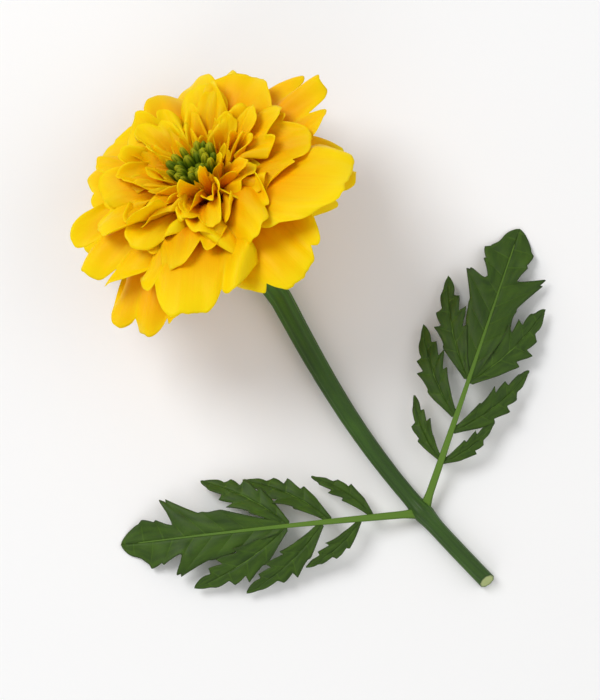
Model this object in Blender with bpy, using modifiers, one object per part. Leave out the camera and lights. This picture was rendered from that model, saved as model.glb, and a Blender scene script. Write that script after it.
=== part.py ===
"""A double marigold bloom, picked with its stem and one pair of leaves, lying on a table.

Metres, +Z up, the table at Z 0. The bloom faces -Y and upwards, and the stem runs back along +Y.
The origin is on the table, under the middle of the whole flower's box.

Bloom frame: its origin is where the calyx joins the stem, and its +Z is the bloom's own axis.
Every floret grows from the receptacle, passes up inside the calyx and opens above its mouth.
A floret's blade lies along a surface of revolution about the bloom's axis, one for each whorl, so
the whorls nest in one another like cups and no two florets meet.
"""

import math
import random

import bmesh
import bpy
from mathutils import Vector

MM = 0.001
GAP = 0.3 * MM  # left between pieces that grow against each other

# How the flower lies.
BLOOM_TILT = math.radians(50)  # how far the bloom's axis points up from level
BLOOM_BASE_X = -3.5 * MM  # where the calyx joins the stem; its height follows from the neck's bend
BLOOM_BASE_Y = -23.3 * MM

# Stem and receptacle.
NECK_RADIUS = 2.4 * MM  # just under the calyx
CUT_RADIUS = 1.65 * MM  # at the picked end
NECK_BEND_RADIUS = 16 * MM
STEM_LENGTH = 82 * MM  # from the calyx to the cut
STEM_SWAY = 3.0 * MM  # sideways bow along the table
NODE_AT = 64 * MM  # where the pair of leaves grows, measured from the calyx
NODE_SWELL = 1.22
NODE_LENGTH = 2.2 * MM
RECEPTACLE_RADIUS = 3.7 * MM
RECEPTACLE_TOP = 4.5 * MM

# Calyx: one cup of joined bracts, open at the mouth.
CALYX_HEIGHT = 15 * MM
CALYX_RADIUS = 6.3 * MM
CALYX_MOUTH_RADIUS = 6.0 * MM
CALYX_WALL = 0.7 * MM

# Florets.
FLORET_BASE = RECEPTACLE_TOP + GAP
PETAL_THICKNESS = 0.45 * MM
NECK_RUN = 5.5 * MM  # length over which a blade turns outwards above the mouth
OPEN_AT = 3.0 * MM  # length above the mouth where a blade starts to widen
WHORLS = {
    # rings: distance from the axis at the receptacle and at the calyx mouth
    # claw: width of the narrow stalk of each floret at the mouth
    # turn: blade's angle from the axis in degrees at the mouth, past the neck and at the tip
    "ray_outer": dict(
        rings=(3.35, 4.9), claw=1.6, turn=(14, 88, 128), across=6, rows=8,
        azimuths=(93, 155, 214, 271, 331, 28), widths=(19, 18, 18, 19, 18, 19),
        blades=(27, 25, 26, 25.5, 26, 27),
    ),
    "ray_upper": dict(
        rings=(3.35, 4.45), claw=1.5, turn=(13, 70, 102), across=6, rows=8,
        azimuths=(126, 184, 242, 301, 359, 60), widths=(21, 17, 17, 17, 17, 20),
        blades=(29, 26, 26, 26, 26, 28),
    ),
    "ray_middle": dict(
        rings=(2.65, 3.75), claw=1.0, turn=(12, 57, 86), across=4, rows=7,
        azimuths=(96, 150, 203, 255, 305, 356, 45), widths=(14, 13, 13, 12, 12, 13, 13),
        blades=(23, 22, 21, 21, 20, 22, 22),
    ),
    "ray_inner": dict(
        rings=(2.65, 3.4), claw=0.9, turn=(12, 45, 70), across=4, rows=7,
        azimuths=(71, 122, 176, 229, 280, 330, 20), widths=(10, 10, 9.5, 9.5, 9, 9, 9.5),
        blades=(19, 20, 19, 18, 18, 18, 19),
    ),
    "crest_outer": dict(
        rings=(2.0, 2.75), claw=0.65, turn=(12, 35, 56), across=3, rows=6,
        azimuths=(10, 50, 90, 130, 170, 210, 250, 290, 330), widths=(6.5,) * 9,
        blades=(16, 17, 17, 16, 17, 15, 16, 15, 16),
    ),
    "crest_inner": dict(
        rings=(2.0, 2.4), claw=0.55, turn=(12, 25, 34), across=3, rows=6,
        azimuths=(30, 70, 110, 150, 190, 230, 270, 310, 350), widths=(4.5,) * 9,
        blades=(13, 14, 14, 13, 14, 13, 13, 13, 13),
    ),
}
FAN_SHARE = 0.72  # of a blade's length, where it is widest
FAN_ROUNDING = 0.36  # of a blade's length; the fan's end is part of an ellipse this long
SECTOR_SHARE = 0.93  # most of its own share of the ring that a floret may fill
TILT_SPREAD = 1.5  # degrees that a blade may stand off its whorl's surface

# Unopened disc florets in the middle of the bloom.
BUD_COUNT = 11
BUD_STALK = 0.2 * MM
BUD_RADIUS = 0.82 * MM
BUD_RINGS = (1.35, 1.85)  # the outermost ones, at the receptacle and at the calyx mouth
BUD_TURN = (9, 17, 18)
BUD_BLADES = (12, 10.5)  # the middle one and the outermost ones
BUD_OUTLINE = ((-1.0, 0), (0.0, 0), (0.25, 0.1), (0.5, 0.8), (0.72, 1), (0.9, 0.75), (1.0, 0.1))

# Leaves: pairs of leaflets along a rachis, and a large lobed one at its end.
LEAF_THICKNESS = 0.5 * MM
LEAF_LENGTH = 57 * MM
LEAF_ARCH = 4.5 * MM
LEAF_SPAN = 14.5 * MM  # from the rachis to the widest leaflet's tip, which rests on the table
LEAFLET_ANGLE = math.radians(47)
LEAFLETS = ((12, 11, 1.9), (20, 18, 2.8), (29, 17, 2.8))  # at, length, half width
LEAFLET_STAGGER = 1.5 * MM  # how much further back the lower ones grow
END_LEAFLET = ((33.5, 1.0), (38.5, 4.2), (43.5, 8.2), (44, 4.8), (49.5, 6.6), (49.5, 3.6), (57, 0))
RACHIS_HALF = 0.75 * MM

FINISHES = {  # linear colour and roughness
    "petal": ((0.95, 0.60, 0.005), 0.55),
    "crest": ((0.90, 0.45, 0.005), 0.55),
    "bud": ((0.22, 0.24, 0.01), 0.5),
    "calyx": ((0.20, 0.38, 0.03), 0.4),
    "stem": ((0.05, 0.14, 0.012), 0.45),
    "leaf": ((0.04, 0.12, 0.016), 0.45),
}


def clear_scene():
    for obj in list(bpy.data.objects):
        bpy.data.objects.remove(obj, do_unlink=True)


def make_material(name):
    colour, roughness = FINISHES[name]
    material = bpy.data.materials.new(name)
    material.use_nodes = True
    shader = material.node_tree.nodes["Principled BSDF"]
    shader.inputs["Base Color"].default_value = (*colour, 1.0)
    shader.inputs["Roughness"].default_value = roughness
    shader.inputs["Metallic"].default_value = 0.0
    return material


def add_object(name, data, collection, material, parent=None):
    obj = bpy.data.objects.new(name, data)
    collection.objects.link(obj)
    obj.data.materials.append(material)
    obj.parent = parent
    return obj


def smooth_step(x):
    x = min(1.0, max(0.0, x))
    return x * x * (3 - 2 * x)


def mix(a, b, share):
    return a + (b - a) * share


class Meridian:
    """The line that a floret follows, as (distance from axis, height) at each arc length."""

    STEP = 0.25 * MM

    def __init__(self, rings, turn, blade, tilt):
        low, mouth = (r * MM for r in rings)
        rise = CALYX_HEIGHT - FLORET_BASE
        self.claw = math.hypot(mouth - low, rise)
        self.length = self.claw + blade
        first, second, last = (math.radians(a) for a in turn)
        self.points = [(low, FLORET_BASE)]
        travelled = 0.0
        r, z = self.points[0]
        while travelled < self.length:
            past = travelled - self.claw
            if past < 0:
                angle = math.atan2(mouth - low, rise)
            elif past < NECK_RUN:
                angle = mix(first, second, smooth_step(past / NECK_RUN))
            else:
                angle = mix(second, last, (past - NECK_RUN) / (blade - NECK_RUN))
            angle += math.radians(tilt) * smooth_step(past / NECK_RUN)
            r += self.STEP * math.sin(angle)
            z += self.STEP * math.cos(angle)
            travelled += self.STEP
            self.points.append((r, z))

    def at(self, distance):
        place = min(distance / self.STEP, len(self.points) - 1.001)
        index = int(place)
        low, high = self.points[index], self.points[index + 1]
        return mix(low[0], high[0], place - index), mix(low[1], high[1], place - index)


def blade_width(past, claw, width, blade):
    """Width of a fan-shaped blade at a length past the mouth: it opens, then rounds off."""
    fan = FAN_SHARE * blade
    opened = mix(claw, width, smooth_step((past - OPEN_AT) / (fan - OPEN_AT)))
    rounding = (past - fan) / (FAN_ROUNDING * blade)
    return opened * math.sqrt(1 - max(0.0, rounding) ** 2)


def floret_rows(claw, blade, count):
    """Arc lengths of the cross rows: close together where the blade turns outwards."""
    rows = [0.0, 0.5 * claw, claw]
    return rows + [claw + blade * (i / count) ** 1.35 for i in range(1, count + 1)]


def make_floret(name, whorl, azimuth, width, blade, seed, bloom, collection, material):
    """One petal with its claw: a grid bent along the whorl's surface and thickened."""
    chance = random.Random(seed)
    tilt = chance.uniform(-TILT_SPREAD, TILT_SPREAD)
    line = Meridian(whorl["rings"], whorl["turn"], blade * MM, tilt)
    rows = floret_rows(line.claw, blade * MM, whorl["rows"])
    claw = whorl["claw"] * MM
    sector = SECTOR_SHARE * math.tau / len(whorl["azimuths"])

    mesh = bpy.data.meshes.new(name)
    bm = bmesh.new()
    bmesh.ops.create_grid(bm, x_segments=whorl["across"], y_segments=len(rows) - 1, size=1.0)
    for vert in bm.verts:
        row = round((vert.co.y + 1) / 2 * (len(rows) - 1))
        distance = rows[row]
        r, z = line.at(distance)
        stalk = claw * r / (whorl["rings"][1] * MM)
        wide = blade_width(distance - line.claw, stalk, width * MM, blade * MM)
        around = vert.co.x * min(wide / r, sector) / 2
        vert.co = (r * math.cos(around), r * math.sin(around), z)
    bmesh.ops.recalc_face_normals(bm, faces=bm.faces)
    bm.to_mesh(mesh)
    bm.free()

    obj = add_object(name, mesh, collection, material, bloom)
    obj.rotation_euler.z = math.radians(azimuth)
    shell = obj.modifiers.new("Thickness", "SOLIDIFY")
    shell.thickness = PETAL_THICKNESS
    shell.offset = 0.0
    mesh.shade_smooth()
    mesh.set_sharp_from_angle(angle=math.radians(50))


def make_florets(bloom, collection, petal, crest):
    for kind, whorl in WHORLS.items():
        material = crest if kind.startswith("crest") else petal
        each = zip(whorl["azimuths"], whorl["widths"], whorl["blades"])
        for number, (azimuth, width, blade) in enumerate(each, start=1):
            name = f"{kind}_{number:02d}"
            make_floret(name, whorl, azimuth, width, blade, number, bloom, collection, material)


def add_tube(name, points, sides, collection, material, parent=None):
    """A round rod through (place, radius) points, with closed ends."""
    curve = bpy.data.curves.new(name, "CURVE")
    curve.dimensions = "3D"
    curve.bevel_depth = 1.0
    curve.bevel_resolution = sides // 2 - 2
    curve.use_fill_caps = True
    spline = curve.splines.new("POLY")
    spline.points.add(len(points) - 1)
    for point, (place, radius) in zip(spline.points, points):
        point.co = (*place, 1.0)
        point.radius = radius
    return add_object(name, curve, collection, material, parent)


def make_buds(bloom, collection, material):
    """Unopened disc florets, standing on the receptacle in a golden-angle spiral."""
    golden = math.pi * (3 - math.sqrt(5))
    for number in range(BUD_COUNT):
        out = math.sqrt((number + 0.35) / BUD_COUNT)
        rings = [ring * out for ring in BUD_RINGS]
        turn = [angle * out for angle in BUD_TURN]
        blade = mix(*BUD_BLADES, out * out)
        line = Meridian(rings, turn, blade * MM, 0.0)
        points = []
        for share, swelling in BUD_OUTLINE:
            past = share * (line.claw if share < 0 else blade * MM)
            r, z = line.at(line.claw + past)
            place = Vector((r * math.cos(number * golden), r * math.sin(number * golden), z))
            points.append((place, mix(BUD_STALK, BUD_RADIUS, swelling)))
        add_tube(f"disc_bud_{number + 1:02d}", points, 8, collection, material, bloom)


def make_calyx(bloom, collection, material):
    """The cup of joined bracts: half its section, turned about the bloom's axis, as a shell."""
    hole = NECK_RADIUS + GAP + CALYX_WALL
    outline = (
        (CALYX_MOUTH_RADIUS, CALYX_HEIGHT),
        (CALYX_RADIUS, 0.80 * CALYX_HEIGHT),
        (CALYX_RADIUS, 0.62 * CALYX_HEIGHT),
        (0.93 * CALYX_RADIUS, 0.42 * CALYX_HEIGHT),
        (0.80 * CALYX_RADIUS, 0.22 * CALYX_HEIGHT),
        (0.66 * CALYX_RADIUS, 0.09 * CALYX_HEIGHT),
        (hole, 0.0),
    )
    mesh = bpy.data.meshes.new("calyx")
    bm = bmesh.new()
    profile = [bm.verts.new((r, 0, z)) for r, z in outline]
    for upper, lower in zip(profile, profile[1:]):
        bm.edges.new((upper, lower))
    bm.to_mesh(mesh)
    bm.free()
    obj = add_object("calyx", mesh, collection, material, bloom)
    turned = obj.modifiers.new("Turned", "SCREW")
    turned.steps = turned.render_steps = 24
    turned.use_merge_vertices = True
    turned.merge_threshold = 0.00001
    shell = obj.modifiers.new("Wall", "SOLIDIFY")
    shell.thickness = CALYX_WALL
    shell.offset = -1.0


def stem_radius(distance):
    plain = mix(NECK_RADIUS, CUT_RADIUS, smooth_step(distance / STEM_LENGTH * 1.3))
    swell = (NODE_SWELL - 1) * math.exp(-(((distance - NODE_AT) / NODE_LENGTH) ** 2))
    return plain * (1 + swell)


def stem_centre(distance):
    """Centre of the stem at a distance from the calyx.

    It leaves the calyx along the bloom's axis, bends level and then lies along the table."""
    bend = NECK_BEND_RADIUS * BLOOM_TILT
    angle = BLOOM_TILT - min(distance, bend) / NECK_BEND_RADIUS
    level = max(0.0, distance - bend)
    sway = STEM_SWAY * math.sin(math.pi * level / (STEM_LENGTH - bend))
    y = NECK_BEND_RADIUS * (math.sin(BLOOM_TILT) - math.sin(angle)) + level
    z = NECK_BEND_RADIUS * (1 - math.cos(angle)) + stem_radius(distance)
    return Vector((BLOOM_BASE_X + sway, BLOOM_BASE_Y + y, z))


def make_stem(collection, material):
    """The stem, widening at its top into the receptacle that carries the florets."""
    axis = Vector((0, -math.cos(BLOOM_TILT), math.sin(BLOOM_TILT)))
    base = stem_centre(0)
    points = [
        (base + axis * RECEPTACLE_TOP, RECEPTACLE_RADIUS),
        (base + axis * 0.75 * RECEPTACLE_TOP, RECEPTACLE_RADIUS),
        (base + axis * 0.35 * RECEPTACLE_TOP, 1.08 * NECK_RADIUS),
    ]
    steps = 30
    for i in range(steps + 1):
        distance = STEM_LENGTH * i / steps
        points.append((stem_centre(distance), stem_radius(distance)))

    add_tube("stem", points, 16, collection, material)


def leaf_outline():
    """Corners of a flat pinnate leaf with its rachis along +X, in order round its edge."""

    def leaflet(at, length, half, side):
        along = Vector((math.cos(LEAFLET_ANGLE), side * math.sin(LEAFLET_ANGLE)))
        across = Vector((along.y, -along.x)) * side
        foot = Vector((at, side * RACHIS_HALF))
        spread = Vector((1.1 * MM, 0))
        tip = foot + along * length
        belly = foot + along * 0.55 * length
        return [
            foot - spread,
            belly - across * half,
            tip - along * 0.2 * length - across * 0.55 * half,
            tip,
            belly + along * 0.12 * length + across * half,
            foot + spread,
        ]

    upper = [Vector((0, RACHIS_HALF))]
    lower = [Vector((0, -RACHIS_HALF))]
    for at, length, half in LEAFLETS:
        upper += leaflet(at * MM, length * MM, half * MM, 1)
        lower += leaflet(at * MM - LEAFLET_STAGGER, length * MM, half * MM, -1)
    upper += [Vector((x, y)) * MM for x, y in END_LEAFLET]
    lower += [Vector((x, -y)) * MM for x, y in END_LEAFLET[:-1]]
    return upper + lower[::-1]


def leaf_height(x, y):
    """Height of the leaf's middle surface over the table: the rachis arches, the leaflets hang."""
    share = min(1.0, x / LEAF_LENGTH)
    resting = LEAF_THICKNESS / 2
    rachis = mix(stem_centre(NODE_AT).z, resting, share) + LEAF_ARCH * math.sin(math.pi * share)
    return mix(rachis, resting, min(1.0, (y / LEAF_SPAN) ** 2))


def make_leaf(name, turn_deg, collection, material):
    """One leaf of the pair: its outline filled, given thickness, and arched over the table."""
    outline = bpy.data.curves.new(name, "CURVE")
    outline.dimensions = "2D"
    outline.fill_mode = "BOTH"
    outline.extrude = LEAF_THICKNESS / 2
    corners = leaf_outline()
    spline = outline.splines.new("POLY")
    spline.points.add(len(corners) - 1)
    for point, corner in zip(spline.points, corners):
        point.co = (corner.x, corner.y, 0.0, 1.0)
    spline.use_cyclic_u = True
    guide = bpy.data.objects.new(name + "_outline", outline)
    collection.objects.link(guide)
    bpy.context.view_layer.update()
    mesh = bpy.data.meshes.new_from_object(guide.evaluated_get(bpy.context.evaluated_depsgraph_get()))
    bpy.data.objects.remove(guide, do_unlink=True)

    bm = bmesh.new()
    bm.from_mesh(mesh)
    bmesh.ops.remove_doubles(bm, verts=bm.verts, dist=0.00001)
    for vert in bm.verts:
        vert.co.z += leaf_height(vert.co.x, vert.co.y)
    bmesh.ops.recalc_face_normals(bm, faces=bm.faces)
    bm.to_mesh(mesh)
    bm.free()

    obj = add_object(name, mesh, collection, material)
    turn = math.radians(turn_deg)
    out = Vector((math.cos(turn), math.sin(turn)))
    clear = (stem_radius(NODE_AT) + GAP + RACHIS_HALF * abs(out.y)) / abs(out.x)
    foot = stem_centre(NODE_AT).xy + out * clear
    obj.location = (foot.x, foot.y, 0.0)
    obj.rotation_euler.z = turn


def main():
    clear_scene()
    collection = bpy.data.collections.new("marigold_bloom")
    bpy.context.scene.collection.children.link(collection)
    materials = {name: make_material(name) for name in FINISHES}

    bloom = bpy.data.objects.new("bloom_frame", None)
    collection.objects.link(bloom)
    bloom.location = stem_centre(0)
    bloom.rotation_euler.x = math.pi / 2 - BLOOM_TILT

    make_stem(collection, materials["stem"])
    make_calyx(bloom, collection, materials["calyx"])
    make_florets(bloom, collection, materials["petal"], materials["crest"])
    make_buds(bloom, collection, materials["bud"])
    make_leaf("leaf_right", -30, collection, materials["leaf"])
    make_leaf("leaf_left", 215, collection, materials["leaf"])


main()
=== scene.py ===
import bmesh
import bpy
import math
import random
from mathutils import Matrix, Vector


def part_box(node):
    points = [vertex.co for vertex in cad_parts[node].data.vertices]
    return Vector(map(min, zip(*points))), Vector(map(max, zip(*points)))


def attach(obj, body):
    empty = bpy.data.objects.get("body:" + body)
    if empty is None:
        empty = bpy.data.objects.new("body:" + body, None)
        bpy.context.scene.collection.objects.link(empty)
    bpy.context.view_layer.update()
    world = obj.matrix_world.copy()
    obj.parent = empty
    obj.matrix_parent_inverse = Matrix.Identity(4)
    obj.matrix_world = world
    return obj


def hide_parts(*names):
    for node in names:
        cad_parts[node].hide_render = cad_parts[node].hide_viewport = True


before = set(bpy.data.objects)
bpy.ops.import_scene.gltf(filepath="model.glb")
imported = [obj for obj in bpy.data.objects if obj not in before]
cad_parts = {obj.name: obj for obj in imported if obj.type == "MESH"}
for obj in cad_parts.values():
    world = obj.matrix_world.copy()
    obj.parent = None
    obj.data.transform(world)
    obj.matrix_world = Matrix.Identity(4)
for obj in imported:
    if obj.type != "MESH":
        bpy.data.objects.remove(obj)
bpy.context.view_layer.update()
mm = 0.001


# node trees as expressions
class Wire:
    def __init__(self, tree, socket):
        self.tree, self.socket = tree, socket

    def math(self, operation, *others):
        return self.tree.math(operation, self, *others)

    def __add__(self, other):
        return self.math("ADD", other)

    def __radd__(self, other):
        return self.math("ADD", other)

    def __sub__(self, other):
        return self.math("SUBTRACT", other)

    def __rsub__(self, other):
        return self.tree.math("SUBTRACT", other, self)

    def __mul__(self, other):
        return self.math("MULTIPLY", other)

    def __rmul__(self, other):
        return self.math("MULTIPLY", other)

    def __truediv__(self, other):
        return self.math("DIVIDE", other)

    def __pow__(self, other):
        return self.math("POWER", other)

    def __neg__(self):
        return self.math("MULTIPLY", -1.0)

    def sin(self):
        return self.math("SINE")

    def cos(self):
        return self.math("COSINE")

    def size(self):
        return self.math("ABSOLUTE")

    def floor(self):
        return self.math("FLOOR")

    def fraction(self):
        return self.math("FRACT")

    def atLeast(self, other):
        return self.math("MAXIMUM", other)

    def atMost(self, other):
        return self.math("MINIMUM", other)

    # 0 below low, 1 above high, smooth between them
    def step(self, low, high):
        settings = {"interpolation_type": "SMOOTHSTEP"}
        return self.tree.add("ShaderNodeMapRange", settings, (self, low, high, 0.0, 1.0))


class Tree:
    def __init__(self, nodeTree):
        self.nodeTree = nodeTree

    # settings go first, then values or links for the sockets, by name or in order
    def add(self, kind, settings=None, values=(), out=0):
        node = self.nodeTree.nodes.new(kind)
        for key, value in (settings or {}).items():
            if key == "stops":
                self.setStops(node.color_ramp, value)
            else:
                setattr(node, key, value)
        pairs = values.items() if isinstance(values, dict) else enumerate(values)
        for key, value in pairs:
            if isinstance(value, Wire):
                self.nodeTree.links.new(value.socket, node.inputs[key])
            else:
                node.inputs[key].default_value = value
        return Wire(self, node.outputs[out])

    def math(self, operation, *values):
        return self.add("ShaderNodeMath", {"operation": operation}, values)

    def setStops(self, ramp, stops):
        while len(ramp.elements) < len(stops):
            ramp.elements.new(0.5)
        for element, (place, colour) in zip(ramp.elements, stops):
            element.position = place
            element.color = (*colour, 1.0)

    def vector(self, x, y, z=0.0):
        return self.add("ShaderNodeCombineXYZ", None, (x, y, z))

    def noise(self, vector, scale, detail=2.0, roughness=0.5):
        values = {"Vector": vector, "Scale": scale, "Detail": detail, "Roughness": roughness}
        return self.add("ShaderNodeTexNoise", None, values)

    def mix(self, factor, *colours):
        first, second = (c if isinstance(c, Wire) else (*c, 1.0) for c in colours)
        values = {0: factor, 6: first, 7: second}
        return self.add("ShaderNodeMix", {"data_type": "RGBA"}, values, out=2)

    def bump(self, strength, distance, height):
        values = {"Strength": strength, "Distance": distance, "Height": height}
        return self.add("ShaderNodeBump", None, values)


def between(low, high, share):
    return low + (high - low) * share


# geometry trees; points closer than these gaps are made one, on round pieces and on sheets
seamGap = 0.002 * mm
sheetGap = 0.0002 * mm


class ShapeTree(Tree):
    def __init__(self, name, inputs):
        super().__init__(bpy.data.node_groups.new(name, "GeometryNodeTree"))
        interface = self.nodeTree.interface
        interface.new_socket("Geometry", in_out="OUTPUT", socket_type="NodeSocketGeometry")
        interface.new_socket("Geometry", in_out="INPUT", socket_type="NodeSocketGeometry")
        for key, value in inputs.items():
            kind = "NodeSocketInt" if isinstance(value, int) else "NodeSocketFloat"
            interface.new_socket(key, in_out="INPUT", socket_type=kind).default_value = value
        interface.new_socket("finish", in_out="INPUT", socket_type="NodeSocketMaterial")
        node = self.nodeTree.nodes.new("NodeGroupInput")
        self.inputs = {s.name: Wire(self, s) for s in node.outputs if s.name}

    # a grid whose points are numbered column by column, with its row and column as fields
    def grid(self, columns, rows):
        values = {"Vertices X": columns, "Vertices Y": rows}
        mesh = self.add("GeometryNodeMeshGrid", None, values)
        index = self.add("GeometryNodeInputIndex")
        column = ((index + 0.5) / rows).floor()
        return mesh, column, index - column * rows

    # running total of a field down each column
    def total(self, value, column):
        values = {"Value": value, "Group ID": column}
        return self.add("GeometryNodeAccumulateField", None, values, out="Leading")

    # one random number for the whole piece: with its ID unlinked, each point would get its own
    def chance(self, low, high, number):
        fixed = self.add("FunctionNodeInputInt", {"integer": number})
        node = self.nodeTree.nodes.new("FunctionNodeRandomValue")
        node.data_type = "FLOAT"
        sockets = {socket.name: socket for socket in node.inputs if socket.enabled}
        sockets["Min"].default_value = low
        sockets["Max"].default_value = high
        self.nodeTree.links.new(fixed.socket, sockets["ID"])
        self.nodeTree.links.new(self.inputs["seed"].socket, sockets["Seed"])
        return Wire(self, next(socket for socket in node.outputs if socket.enabled))

    # a random start for a wave, in radians
    def phase(self, number):
        return self.chance(0.0, 6.28, number)

    def place(self, mesh, position):
        return self.add("GeometryNodeSetPosition", None, {"Geometry": mesh, "Position": position})

    def remember(self, mesh, name, value):
        values = {"Geometry": mesh, "Name": name, "Value": value}
        return self.add("GeometryNodeStoreNamedAttribute", None, values)

    # a sheet becomes a closed solid: its faces are pushed out along their normals
    def thicken(self, mesh, thickness):
        mesh = self.weld(self.remember(mesh, "thick", thickness), sheetGap)
        thick = self.add("GeometryNodeInputNamedAttribute", None, ("thick",))
        values = {"Mesh": mesh, "Offset Scale": thick, "Individual": False}
        outer = self.add("GeometryNodeExtrudeMesh", {"mode": "FACES"}, values)
        inner = self.add("GeometryNodeFlipFaces", None, {"Mesh": mesh})
        return self.weld(self.join(inner, outer), sheetGap)

    def join(self, *parts):
        node = self.nodeTree.nodes.new("GeometryNodeJoinGeometry")
        for part in parts:
            self.nodeTree.links.new(part.socket, node.inputs[0])
        return Wire(self, node.outputs[0])

    def weld(self, mesh, gap):
        values = {"Geometry": mesh, "Distance": gap}
        return self.add("GeometryNodeMergeByDistance", None, values)

    def finish(self, mesh):
        mesh = self.add("GeometryNodeSetShadeSmooth", None, {"Geometry": mesh, "Shade Smooth": True})
        mesh = self.add("GeometryNodeRealizeInstances", None, {"Geometry": mesh})
        values = {"Geometry": mesh, "Material": self.inputs["finish"]}
        mesh = self.add("GeometryNodeSetMaterial", None, values)
        output = self.nodeTree.nodes.new("NodeGroupOutput")
        self.nodeTree.links.new(mesh.socket, output.inputs[0])
        return self.nodeTree


# a plain mesh from a tree and its inputs, placed in the row frame
def grow(name, shape, values, finish, matrix):
    piece = bpy.data.objects.new(name, bpy.data.meshes.new(name))
    bpy.context.scene.collection.objects.link(piece)
    modifier = piece.modifiers.new("Shape", "NODES")
    modifier.node_group = shape
    values = {**values, "finish": finish}
    for item in shape.interface.items_tree:
        if item.in_out == "INPUT" and item.name in values:
            modifier[item.identifier] = values[item.name]
    depsgraph = bpy.context.evaluated_depsgraph_get()
    mesh = bpy.data.meshes.new_from_object(piece.evaluated_get(depsgraph))
    piece.modifiers.remove(modifier)
    mesh.transform(matrix)
    piece.data = mesh
    return piece


# how the flower lies, as the frame has it
lie = {
    "tilt": math.radians(50),
    "neckBend": 16 * mm,
    "stemLength": 82 * mm,
    "neckRadius": 2.4 * mm,
    "cutRadius": 1.65 * mm,
    "sway": 3.0 * mm,
    "nodeAt": 64 * mm,
    "receptacleTop": 4.5 * mm,
    "receptacleRadius": 3.7 * mm,
    "calyxHeight": 15 * mm,
    "floretBase": 4.8 * mm,
    "softness": 0.6 * mm,
}
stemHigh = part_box("stem")[1]
calyxLow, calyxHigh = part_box("calyx")
levelRun = lie["stemLength"] - lie["neckBend"] * lie["tilt"]
endSlope = lie["sway"] * math.pi / levelRun  # the sway turns the cut face a little
bloomBase = Vector((
    (calyxLow.x + calyxHigh.x) / 2,
    stemHigh.y - lie["cutRadius"] * endSlope - levelRun - lie["neckBend"] * math.sin(lie["tilt"]),
    lie["neckBend"] * (1 - math.cos(lie["tilt"])) + lie["neckRadius"],
))
bloomFrame = Matrix.Translation(bloomBase) @ Matrix.Rotation(math.pi / 2 - lie["tilt"], 4, "X")
print("bloom base at", [round(c / mm, 2) for c in bloomBase])


# finishes
def newMaterial(name):
    material = bpy.data.materials.new(name)
    material.use_nodes = True
    return material, Tree(material.node_tree), material.node_tree.nodes["Principled BSDF"]


# soft is how much light passes through: its weight, its colours and its depth
def setShader(tree, shader, look, values):
    weight, radius, scale = look["soft"]
    values = {
        "Specular IOR Level": look["specular"], "Subsurface Weight": weight,
        "Subsurface Radius": radius, "Subsurface Scale": scale, **values,
    }
    for key, value in values.items():
        if isinstance(value, Wire):
            tree.nodeTree.links.new(value.socket, shader.inputs[key])
        else:
            shader.inputs[key].default_value = value


def attributes(tree, *names):
    kind = "ShaderNodeAttribute"
    return [tree.add(kind, {"attribute_name": name}, out="Fac") for name in names]


petalFinish = {
    "footOrangeAndShade": (0.60, 0.085, 0.001),
    "base": (0.88, 0.30, 0.001),
    "body": (0.92, 0.46, 0.001),
    "rim": (0.96, 0.63, 0.001),
    "olive": (0.36, 0.27, 0.004),
    "veins": 30.0,
    "veinDepth": 1.3,
    "roughness": 0.5,
    "rayWarmth": 0.02,
    "crestWarmth": 0.05,
    "crestOlive": 0.6,
    "specular": 0.09, "soft": (0.35, (1.0, 0.5, 0.05), 1.0 * mm),
}


# the more warmth, the further out the orange reaches; that orange foot is partly the florets' own
# colour and partly painted shade of the bloom's depths, and the crest florets get more of it. olive
# tints the foot of some florets
def makePetalMaterial(name, warmth, olive):
    look = petalFinish
    material, tree, shader = newMaterial(name)
    along, across, tone = attributes(tree, "along", "across", "tone")
    # the ramp's dark orange start is painted shade for the floret's foot deep inside the bloom, laid
    # over its own orange
    stops = ((0.0, look["footOrangeAndShade"]), (0.3, look["base"]), (0.68, look["body"]), (1.0, look["rim"]))
    cloud = tree.noise(tree.vector(across * 1.2, along * 1.6, tone * 17.0), 1.0, 1.0) - 0.5
    reach = along - warmth + (tone - 0.5) * 0.24 + cloud * 0.3 + across.size() ** 4.0 * 0.12
    colour = tree.add("ShaderNodeValToRGB", {"stops": stops}, (reach,))
    veins = tree.noise(tree.vector(across * look["veins"], along * 0.8, tone * 9.0), 1.0, 1.0) - 0.5
    veinTint = veins.atLeast(0.0) * look["veinDepth"] * (1.1 - along)
    colour = tree.mix(veinTint, colour, look["base"])
    if olive:
        shade = (tone * 7.0).fraction().step(0.35, 0.75) * (1.0 - along.step(0.35, 0.85))
        colour = tree.mix(shade * olive, colour, look["olive"])
    setShader(tree, shader, look, {
        "Base Color": colour,
        "Roughness": look["roughness"] + cloud * 0.2,
        "Normal": tree.bump(0.3, 0.12 * mm, veins),
    })
    return material


budFinish = {
    "foot": (0.012, 0.030, 0.001),
    "side": (0.10, 0.155, 0.002),
    "tip": (0.38, 0.36, 0.005),
    "specular": 0.1, "soft": (0.2, (0.6, 1.0, 0.1), 0.6 * mm),
}


def makeBudMaterial():
    look = budFinish
    material, tree, shader = newMaterial("budSkin")
    along, across, tone, ridge = attributes(tree, "along", "across", "tone", "ridge")
    # painted shade: the near-black foot stands for the shade down between the packed buds
    stops = ((0.0, look["foot"]), (0.55, look["foot"]), (0.84, look["side"]), (1.0, look["tip"]))
    colour = tree.add("ShaderNodeValToRGB", {"stops": stops}, (along + (tone - 0.6) * 0.2,))
    # painted shade: the grooves between the head's lobes are darkened towards the foot colour
    colour = tree.mix((1.0 - ridge).step(0.3, 1.0) * 0.6, colour, look["foot"])
    grain = tree.noise(tree.vector(across * 24.0, along * 6.0, tone * 5.0), 1.0)
    setShader(tree, shader, look, {"Base Color": colour, "Roughness": 0.45 + grain * 0.2})
    return material


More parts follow.
